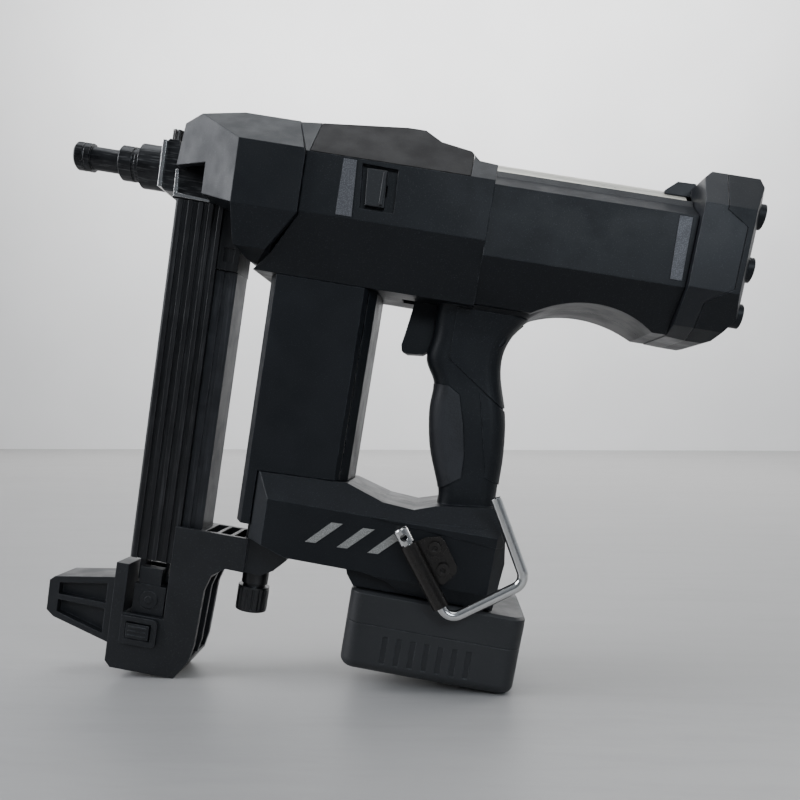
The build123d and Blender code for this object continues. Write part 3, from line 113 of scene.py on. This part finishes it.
class Finish(Nodes):
    """A procedural material that is built up step by step."""

    def __init__(self, name):
        self.name = name
        self.material = bpy.data.materials.new(name)
        self.material.use_nodes = True
        super().__init__(self.material.node_tree)
        self.tree.nodes.clear()
        output = self.add("OutputMaterial")
        self.shader = self.add("BsdfPrincipled")
        self.link(self.shader.outputs["BSDF"], output.inputs["Surface"])
        self.place = self.add("TexCoord").outputs["Object"]

    def turned(self, stretch):
        """Object coordinates turned into the tool's frame, and stretched along its axes."""
        mapping = self.add("Mapping", Rotation=(0, -LEAN, 0))
        self.link(self.place, mapping.inputs["Vector"])
        scaling = self.add("VectorMath")
        scaling.operation = "MULTIPLY"
        scaling.inputs[1].default_value = stretch
        self.link(mapping.outputs["Vector"], scaling.inputs[0])
        return scaling.outputs["Vector"]

    def noise(self, scale, detail=3.0, roughness=0.55, vector=None, distortion=0.0):
        """Cloudy noise between 0 and 1, with about scale features in a metre."""
        node = self.add("TexNoise", Scale=scale, Detail=detail, Roughness=roughness, Distortion=distortion)
        self.link(vector or self.place, node.inputs["Vector"])
        return node.outputs["Fac"]

    def cells(self, scale):
        """The distance to the nearest of many scattered points, with about scale of them in a metre."""
        node = self.add("TexVoronoi", Scale=scale)
        self.link(self.place, node.inputs["Vector"])
        return node.outputs["Distance"]

    def maths(self, operation, first, second=None):
        """One or two values, or outputs, combined by a Math node."""
        node = self.add("Math")
        node.operation = operation
        for socket, value in zip(node.inputs, (first, second)):
            if value is None:
                continue
            if isinstance(value, (int, float)):
                socket.default_value = value
            else:
                self.link(value, socket)
        return node.outputs["Value"]

    def rounded(self, radius):
        """The surface's normal with every edge rounded to a radius in mm."""
        node = self.add("Bevel", Radius=radius * MM)
        node.samples = 6
        return node.outputs["Normal"]

    def edges(self, normal, band=(0.01, 0.16)):
        """1 on edges and 0 on flats: how far the rounded normal leans from the real one."""
        geometry = self.add("NewGeometry")
        node = self.add("VectorMath")
        node.operation = "DOT_PRODUCT"
        self.link(normal, node.inputs[0])
        self.link(geometry.outputs["Normal"], node.inputs[1])
        return self.spread(self.maths("SUBTRACT", 1.0, node.outputs["Value"]), band)

    def bump(self, height, depth, strength, normal=None):
        """A normal bent by a height map of a depth in mm, on top of another normal."""
        node = self.add("Bump", Strength=strength, Distance=depth * MM)
        self.link(height, node.inputs["Height"])
        if normal is not None:
            self.link(normal, node.inputs["Normal"])
        return node.outputs["Normal"]

    def set(self, name, value):
        """A constant goes straight on the shader's own socket, an output is linked to it."""
        socket = self.shader.inputs[name]
        if isinstance(value, (int, float, tuple)):
            socket.default_value = value
        else:
            self.link(value, socket)


# How many features of each kind of surface detail there are in a metre.

SWELLS = 11.0
COLOUR_PATCHES = 14.0
HANDLING_MARKS = 55.0
SCUFFS = 160.0
DUST_SPECKS = 620.0
PLASTIC_GRAIN = 1700.0
STAINS = 70.0
CHIPS = 240.0
STREAKS = 900.0
RUBBER_PATCHES = 60.0
PEBBLES = 900.0
TAPE_CLOUD = 380.0
TAPE_FLAKES = 1500.0
FLOOR_PLANKS = 3.0
FLOOR_FIBRES = 40.0
WALL_CLOUD = 2.0

# Edge radii and depths of relief, in mm.

PLASTIC_EDGE = 0.7
METAL_EDGE = 0.35
RUBBER_EDGE = 0.8
TAPE_EDGE = 0.3
SWELL_DEPTH = 1.6
PEBBLE_DEPTH = 0.05
FLAKE_DEPTH = 0.02
FIBRE_DEPTH = 0.1

# The band of a noise that most of it lies in, and other shared values.

MIDDLE = (0.3, 0.7)
DUST_GREY = (0.2, 0.2, 0.2)
SEAM_BLACK = (0.002, 0.002, 0.002)
SEAM_FROM_MIDDLE = (0.08 * MM, 0.34 * MM)
SEAM_DEPTH = 6.0


def plastic(name, tone, second_tone, gloss, edge_tone, grain=PLASTIC_GRAIN, grain_depth=0.03,
            seam=False, level=0.5):
    """Moulded plastic: eroded grain, handling marks in the gloss, slightly polished edges, and edges painted
    lighter where scuffed, partly wear and partly a painted highlight.

    seam draws the fine dark line where the left and right mouldings meet.
    """
    finish = Finish(name)
    normal = finish.rounded(PLASTIC_EDGE)
    edge = finish.edges(normal, band=(0.004, 0.09))
    handled = finish.noise(HANDLING_MARKS, detail=5.0, roughness=0.6)
    patch = finish.noise(COLOUR_PATCHES, detail=3.0, roughness=0.5)
    grain_map = finish.noise(grain, detail=2.0, roughness=0.6)
    swells = finish.noise(SWELLS, detail=1.0, roughness=0.4)
    uneven = finish.bump(swells, depth=SWELL_DEPTH, strength=1.0, normal=normal)
    colour = finish.mix(finish.spread(patch, MIDDLE), tone, second_tone)
    colour = finish.mix(finish.spread(grain_map, band=(0.56, 0.78), result=(0.0, 0.5)), colour, edge_tone)
    # Edges are painted lighter where the scuffs fall: partly wear, and partly a painted highlight along the
    # edges.
    scuffs = finish.spread(finish.noise(SCUFFS, detail=6.0, roughness=0.7), band=(0.42, 0.66))
    lightened_edge = finish.maths("MULTIPLY", edge, scuffs)
    colour = finish.mix(finish.maths("MULTIPLY", lightened_edge, 0.95), colour, edge_tone)
    specks = finish.noise(DUST_SPECKS, detail=4.0, roughness=0.8)
    dust = finish.spread(specks, band=(0.71, 0.78), result=(0.0, 0.35))
    colour = finish.mix(dust, colour, DUST_GREY)
    rough = finish.spread(handled, band=(0.32, 0.68), result=gloss)
    rough = finish.maths("SUBTRACT", rough, finish.maths("MULTIPLY", edge, 0.07))
    height = grain_map
    if seam:
        across = finish.add("SeparateXYZ")
        finish.link(finish.place, across.inputs["Vector"])
        beside = finish.maths("ABSOLUTE", across.outputs["Y"])
        open_seam = finish.spread(beside, band=SEAM_FROM_MIDDLE, result=(1.0, 0.0))
        colour = finish.mix(open_seam, colour, SEAM_BLACK)
        height = finish.maths("SUBTRACT", height, finish.maths("MULTIPLY", open_seam, SEAM_DEPTH))
    finish.set("Base Color", colour)
    finish.set("Roughness", rough)
    finish.set("Specular IOR Level", level)
    finish.set("Normal", finish.bump(height, depth=grain_depth, strength=0.6, normal=uneven))
    return finish


def metal(name, tone, second_tone, gloss, edge_tone, stretch=(1, 1, 1), streaks=STREAKS, depth=0.012,
          metallic=1.0, wear=0.8, streak_share=0.35):
    """Metal: fine machining or drawing lines, stains in the gloss, and bright worn edges."""
    finish = Finish(name)
    normal = finish.rounded(METAL_EDGE)
    edge = finish.edges(normal)
    lines = finish.noise(streaks, detail=3.0, roughness=0.6, vector=finish.turned(stretch))
    stains = finish.noise(STAINS, detail=6.0, roughness=0.62, distortion=0.6)
    colour = finish.mix(finish.spread(stains, band=(0.35, 0.68)), tone, second_tone)
    colour = finish.mix(finish.spread(lines, band=(0.5, 0.75), result=(0.0, streak_share)), colour, edge_tone)
    chips = finish.spread(finish.noise(CHIPS, detail=6.0, roughness=0.7), band=(0.4, 0.6))
    lightened_edge = finish.maths("MULTIPLY", finish.maths("MULTIPLY", edge, chips), wear)
    colour = finish.mix(lightened_edge, colour, edge_tone)
    rough = finish.spread(stains, MIDDLE, result=gloss)
    rough = finish.maths("ADD", rough, finish.spread(lines, MIDDLE, result=(-0.04, 0.06)))
    finish.set("Base Color", colour)
    finish.set("Metallic", metallic)
    finish.set("Roughness", rough)
    finish.set("Normal", finish.bump(lines, depth=depth, strength=0.7, normal=normal))
    return finish


def rubber(name, tone, second_tone, gloss):
    """Soft rubber: a fine pebbled skin, dusty in the hollows."""
    finish = Finish(name)
    normal = finish.rounded(RUBBER_EDGE)
    pebbles = finish.cells(PEBBLES)
    patch = finish.noise(RUBBER_PATCHES, detail=5.0, roughness=0.6)
    colour = finish.mix(finish.spread(patch, band=(0.35, 0.65)), tone, second_tone)
    hollow = finish.spread(pebbles, band=(0.35, 0.75), result=(0.0, 0.5))
    colour = finish.mix(hollow, colour, second_tone)
    height = finish.spread(pebbles, band=(0.1, 0.6), result=(1.0, 0.0))
    finish.set("Base Color", colour)
    finish.set("Roughness", finish.spread(patch, MIDDLE, result=gloss))
    finish.set("Specular IOR Level", 0.35)
    finish.set("Normal", finish.bump(height, depth=PEBBLE_DEPTH, strength=0.7, normal=normal))
    return finish


def speckled(name, tone, second_tone, gloss):
    """Printed tape: a flake speckle under a thin satin film."""
    finish = Finish(name)
    normal = finish.rounded(TAPE_EDGE)
    flakes = finish.cells(TAPE_FLAKES)
    cloud = finish.noise(TAPE_CLOUD, detail=5.0, roughness=0.7)
    colour = finish.mix(finish.spread(flakes, band=(0.2, 0.62)), tone, second_tone)
    colour = finish.mix(finish.spread(cloud, band=(0.45, 0.7), result=(0.0, 0.55)), colour, second_tone)
    finish.set("Base Color", colour)
    finish.set("Roughness", finish.spread(cloud, MIDDLE, result=gloss))
    finish.set("Metallic", 0.25)
    finish.set("Normal", finish.bump(flakes, depth=FLAKE_DEPTH, strength=0.5, normal=normal))
    return finish


# Each finish is its slot's name, two tones that it drifts between, the least and the most roughness,
# and, but for rubber and tape, the tone of its lighter edges: worn edges on metal, and on plastic a painted
# highlight that is partly scuffed wear.

FINISHES = (
    plastic("housing_black", (0.0068, 0.0080, 0.0100), (0.0090, 0.0106, 0.0130), (0.38, 0.5),
            (0.055, 0.060, 0.070), seam=True, level=0.24),
    plastic("cover_brown_grey", (0.0160, 0.0150, 0.0150), (0.0210, 0.0195, 0.0192), (0.55, 0.7),
            (0.045, 0.042, 0.041), grain=1300.0, level=0.16),
    plastic("ring_black", (0.0110, 0.0124, 0.0152), (0.0145, 0.0160, 0.0195), (0.34, 0.46),
            (0.06, 0.064, 0.072), level=0.3),
    speckled("strip_grey", (0.135, 0.136, 0.148), (0.075, 0.076, 0.084), (0.4, 0.55)),
    speckled("stripe_pale", (0.36, 0.36, 0.345), (0.22, 0.22, 0.21), (0.42, 0.56)),
    metal("magazine_black", (0.0075, 0.0078, 0.0088), (0.0105, 0.0108, 0.0122), (0.34, 0.44),
          (0.075, 0.075, 0.08), stretch=(1, 1, 0.03), metallic=0.25, wear=0.3),
    metal("rail_grey", (0.022, 0.023, 0.026), (0.030, 0.031, 0.035), (0.34, 0.46),
          (0.12, 0.12, 0.125), stretch=(1, 1, 0.03), metallic=0.4, wear=0.35),
    plastic("foot_black", (0.0075, 0.0082, 0.0098), (0.0100, 0.0110, 0.0130), (0.36, 0.5),
            (0.055, 0.058, 0.064), grain=1500.0, level=0.42),
    plastic("knob_black", (0.0065, 0.0068, 0.0075), (0.0090, 0.0094, 0.0102), (0.28, 0.42),
            (0.04, 0.04, 0.044)),
    rubber("rubber_black", (0.0160, 0.0168, 0.0195), (0.0250, 0.0262, 0.0300), (0.46, 0.6)),
    metal("nose_steel", (0.020, 0.0205, 0.022), (0.034, 0.035, 0.037), (0.28, 0.4),
          (0.26, 0.26, 0.26), stretch=(0.08, 1, 1), metallic=0.8),
    metal("bright_steel", (0.66, 0.66, 0.65), (0.6, 0.6, 0.59), (0.12, 0.2),
          (0.8, 0.8, 0.79), stretch=(1, 1, 0.2), depth=0.004, wear=0.4),
    metal("gunmetal", (0.022, 0.0195, 0.018), (0.026, 0.0235, 0.0215), (0.17, 0.23),
          (0.12, 0.11, 0.10), stretch=(1, 1, 0.15), streaks=2400.0, depth=0.003, metallic=0.5, wear=0.4,
          streak_share=0.05),
    metal("pale_aluminium", (0.74, 0.72, 0.64), (0.68, 0.66, 0.58), (0.3, 0.42),
          (0.85, 0.84, 0.78), stretch=(0.05, 1, 1), metallic=0.7),
    metal("tool_steel", (0.34, 0.34, 0.34), (0.26, 0.26, 0.26), (0.24, 0.38),
          (0.6, 0.6, 0.6), stretch=(0.1, 1, 1)),
    metal("cast_aluminium", (0.4, 0.4, 0.39), (0.33, 0.33, 0.32), (0.42, 0.58),
          (0.62, 0.62, 0.6), streaks=420.0, depth=0.05),
    plastic("switch_plastic", (0.022, 0.022, 0.024), (0.03, 0.03, 0.032), (0.4, 0.52),
            (0.07, 0.07, 0.07)),
    plastic("pack_plastic", (0.0125, 0.0134, 0.0150), (0.0165, 0.0176, 0.0195), (0.44, 0.58),
            (0.05, 0.052, 0.058), grain=1200.0, grain_depth=0.045),
    plastic("cell_sleeve", (0.05, 0.12, 0.2), (0.06, 0.14, 0.23), (0.25, 0.35), (0.1, 0.2, 0.3)),
)
MATERIALS = {finish.name: finish.material for finish in FINISHES}


def dress(obj, slot_name):
    """Gives one object the material of a slot."""
    obj.data.materials.clear()
    obj.data.materials.append(MATERIALS[slot_name])


node_slots = {entry["node"]: entry["material_slot"] for entry in frame["record"]["subparts"]}
for node_name, node_object in frame["nodes"].items():
    dress(node_object, node_slots[node_name])


# Visual pieces that ride on the tool: raised panels on the housing, and a frame beside the nose.

def show(obj):
    bpy.context.scene.collection.objects.link(obj)


def new_object(name, mesh):
    """An object in the scene, made from a bmesh, which is used up."""
    data = bpy.data.meshes.new(name)
    mesh.to_mesh(data)
    mesh.free()
    obj = bpy.data.objects.new(name, data)
    show(obj)
    return obj


def finish_piece(piece, slot_name):
    """Gives a piece its material, and puts it on the tool's body."""
    dress(piece, slot_name)
    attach(piece, "tool")


PANEL_RIM = 0.35
SPINE_HALF = 3.0
OUTWARD = 0.02
STEEPLY_OUTWARD = 0.3
MERGE_DISTANCE = 1e-6
CUT_TOLERANCE = 1e-7


def is_outer(face, side):
    """True for a face of the skin on that side of the tool, and not one of a cavity or a pocket."""
    lean = face.normal.y * side
    off_spine = abs(face.calc_center_median().y) > SPINE_HALF * MM
    return lean > STEEPLY_OUTWARD or lean > OUTWARD and off_spine


def surface_panel(name, node, outline, side, lift, slot_name):
    """A thin raised panel on a CAD node's skin.

    outline is a convex shape in the tool's x and z, in mm, and side is -1 for the left face or 1 for the
    right one. The panel stands lift mm proud of the skin, and its rim goes a little way into it.
    """
    mesh = bmesh.new()
    mesh.from_mesh(frame["nodes"][node].data)
    corners = [at(x, 0, z) for x, z in outline]
    centre = sum(corners, Vector()) / len(corners)
    for corner, following in zip(corners, corners[1:] + corners[:1]):
        normal = (following - corner).cross(ACROSS).normalized()
        if (centre - corner).dot(normal) > 0:
            normal = -normal
        bmesh.ops.bisect_plane(
            mesh, geom=mesh.verts[:] + mesh.edges[:] + mesh.faces[:], plane_co=corner, plane_no=normal,
            clear_outer=True, dist=CUT_TOLERANCE)
    inner = [face for face in mesh.faces if not is_outer(face, side)]
    bmesh.ops.delete(mesh, geom=inner, context="FACES")
    bmesh.ops.remove_doubles(mesh, verts=mesh.verts[:], dist=MERGE_DISTANCE)
    bmesh.ops.dissolve_degenerate(mesh, edges=mesh.edges[:], dist=CUT_TOLERANCE)
    mesh.normal_update()
    panel = new_object(name, mesh)
    thick = panel.modifiers.new("thickness", "SOLIDIFY")
    thick.thickness = (lift + PANEL_RIM) * MM
    thick.offset = (lift - PANEL_RIM) / (lift + PANEL_RIM)
    thick.use_even_offset = True
    for polygon in panel.data.polygons:
        polygon.use_smooth = False
    finish_piece(panel, slot_name)


GRIP_SHOULDER = [(237.5, -53), (237.6, -81.3), (272, -104.5), (290, -95), (300, -53)]
GRIP_HEEL = [(258.1, -97.1), (285, -112), (285, -150), (269.6, -144.6)]
FOOT_WEDGE = [(209.7, -175.5), (281.9, -171.2), (286.1, -178.9), (284, -181)]
for hand, side in (("left", -1), ("right", 1)):
    for panel_name, outline, lift in (
            ("grip_shoulder", GRIP_SHOULDER, 0.8), ("grip_heel", GRIP_HEEL, 0.6),
            ("foot_wedge", FOOT_WEDGE, 0.6)):
        surface_panel(f"{panel_name}_{hand}", f"{hand}_housing", outline, side, lift, "housing_black")

PLATE_SOFTENING = 0.15


def side_plate(name, outline, y_low, y_high, slot_name):
    """A thin plate cut to an outline in the tool's x and z, with softened edges."""
    mesh = bmesh.new()
    near = [mesh.verts.new(at(x, y_low, z)) for x, z in outline]
    far = [mesh.verts.new(at(x, y_high, z)) for x, z in outline]
    mesh.faces.new(near)
    mesh.faces.new(far[::-1])
    for index in range(len(outline)):
        following = (index + 1) % len(outline)
        mesh.faces.new([near[following], near[index], far[index], far[following]])
    bmesh.ops.recalc_face_normals(mesh, faces=mesh.faces[:])
    plate = new_object(name, mesh)
    softened = plate.modifiers.new("softened", "BEVEL")
    softened.width = PLATE_SOFTENING * MM
    softened.segments = 2
    finish_piece(plate, slot_name)


NOSE_FRAME = [(66.2, -1.6), (68, -1.6), (68.6, -14.4), (88, -15.6), (88, -17), (66.6, -16.6)]
NOSE_FRAME_INSIDE = 12.05
NOSE_FRAME_OUTSIDE = 13.1
side_plate("nose_frame_left", NOSE_FRAME, -NOSE_FRAME_OUTSIDE, -NOSE_FRAME_INSIDE, "bright_steel")
side_plate("nose_frame_right", NOSE_FRAME, NOSE_FRAME_INSIDE, NOSE_FRAME_OUTSIDE, "bright_steel")


# Floor and wall, in metres.

FLOOR_HALF = 6.0
WALL_Y = 3.4
WALL_TOP = 4.0


def floor_grey():
    """A pale grey floor with a faint grain along it."""
    finish = Finish("floor_grey")
    planks = finish.noise(FLOOR_PLANKS, detail=4.0, roughness=0.6, vector=finish.turned((0.25, 1, 1)))
    fibres = finish.noise(FLOOR_FIBRES, detail=5.0, roughness=0.7, vector=finish.turned((0.06, 1, 1)))
    colour = finish.mix(finish.spread(planks, MIDDLE), (0.30, 0.295, 0.29), (0.335, 0.33, 0.325))
    grain = finish.spread(fibres, band=(0.4, 0.75), result=(0.0, 0.4))
    finish.set("Base Color", finish.mix(grain, colour, (0.265, 0.26, 0.255)))
    finish.set("Roughness", finish.spread(planks, MIDDLE, result=(0.38, 0.48)))
    finish.set("Normal", finish.bump(fibres, depth=FIBRE_DEPTH, strength=0.4))
    return finish


def wall_pale():
    """A plain pale wall."""
    finish = Finish("wall_pale")
    cloud = finish.noise(WALL_CLOUD, detail=3.0, roughness=0.5)
    finish.set("Base Color", finish.mix(finish.spread(cloud, MIDDLE), (0.8, 0.8, 0.8), (0.76, 0.76, 0.76)))
    finish.set("Roughness", finish.spread(cloud, MIDDLE, result=(0.55, 0.7)))
    return finish


def stage_sheet(name, corners, finish):
    """One flat four-sided sheet of the stage."""
    mesh = bpy.data.meshes.new(name)
    mesh.from_pydata(corners, [], [(0, 1, 2, 3)])
    mesh.materials.append(finish.material)
    sheet = bpy.data.objects.new(name, mesh)
    show(sheet)


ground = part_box("battery_lower_case")[0].z
wall_foot = [(FLOOR_HALF, WALL_Y, ground), (-FLOOR_HALF, WALL_Y, ground)]
stage_sheet(
    "floor", [(-FLOOR_HALF, -FLOOR_HALF, ground), (FLOOR_HALF, -FLOOR_HALF, ground), *wall_foot],
    floor_grey())
stage_sheet(
    "wall", [*wall_foot[::-1], (FLOOR_HALF, WALL_Y, WALL_TOP), (-FLOOR_HALF, WALL_Y, WALL_TOP)],
    wall_pale())


# Light.

def soft_light(name, place, target, width, height, power, tint=(1, 1, 1)):
    """A rectangular soft box that looks at a target, in metres and watts."""
    lamp = bpy.data.lights.new(name, "AREA")
    lamp.shape = "RECTANGLE"
    lamp.size = width
    lamp.size_y = height
    lamp.energy = power
    lamp.color = tint
    obj = bpy.data.objects.new(name, lamp)
    obj.location = place
    obj.rotation_mode = "QUATERNION"
    obj.rotation_quaternion = (Vector(target) - Vector(place)).to_track_quat("-Z", "Y")
    show(obj)


TOOL_MIDDLE = (0, 0, 0.2)
BARREL_SIDE = (0.1, 0, 0.27)
WALL_MIDDLE = (0, WALL_Y, 1.2)
soft_light(
    "key_left", (-1.7, -0.35, 1.05), TOOL_MIDDLE, width=1.1, height=1.1, power=36, tint=(0.93, 0.95, 1.0))
soft_light(
    "top_panel", (0.05, 0.1, 1.75), TOOL_MIDDLE, width=1.5, height=1.1, power=15, tint=(0.95, 0.975, 1.0))
soft_light(
    "side_sheen", (0.55, -1.5, 0.9), BARREL_SIDE, width=1.0, height=0.45, power=11, tint=(0.82, 0.91, 1.0))
soft_light(
    "rear_right", (1.5, 1.1, 1.1), TOOL_MIDDLE, width=0.9, height=0.9, power=16, tint=(1.0, 0.99, 0.97))
soft_light("wall_wash", (0.0, 1.9, 2.3), WALL_MIDDLE, width=4.0, height=0.8, power=150)


def studio_world():
    """A room that is bright above and behind the tool, and dim on the side that it is seen from."""
    world = bpy.data.worlds.new("studio")
    world.use_nodes = True
    nodes = Nodes(world.node_tree)
    direction = nodes.add("SeparateXYZ")
    nodes.link(nodes.add("TexCoord").outputs["Generated"], direction.inputs["Vector"])
    front_light = (0.13, 0.14, 0.155)
    rear_light = (0.5, 0.525, 0.56)
    top_light = (0.3, 0.32, 0.35)
    rearward = nodes.spread(direction.outputs["Y"], band=(-0.75, 0.35))
    overhead = nodes.spread(direction.outputs["Z"], band=(0.15, 0.95))
    colour = nodes.mix(overhead, nodes.mix(rearward, front_light, rear_light), top_light)
    nodes.link(colour, world.node_tree.nodes["Background"].inputs["Color"])
    bpy.context.scene.world = world


studio_world()


# Camera: left of the tool, low and close, with its view raised by a lens shift.

CAMERA_PLACE = (0.0386, -0.4792, 0.1578)
CAMERA_DOWN = 6.62
CAMERA_TURN = 3.4

lens = bpy.data.cameras.new("camera")
lens.sensor_width = 36
lens.lens = 36.045
lens.shift_y = 0.1375
camera = bpy.data.objects.new("camera", lens)
camera.location = CAMERA_PLACE
camera.rotation_euler = (math.radians(90 - CAMERA_DOWN), 0, math.radians(CAMERA_TURN))
show(camera)
bpy.context.scene.camera = camera
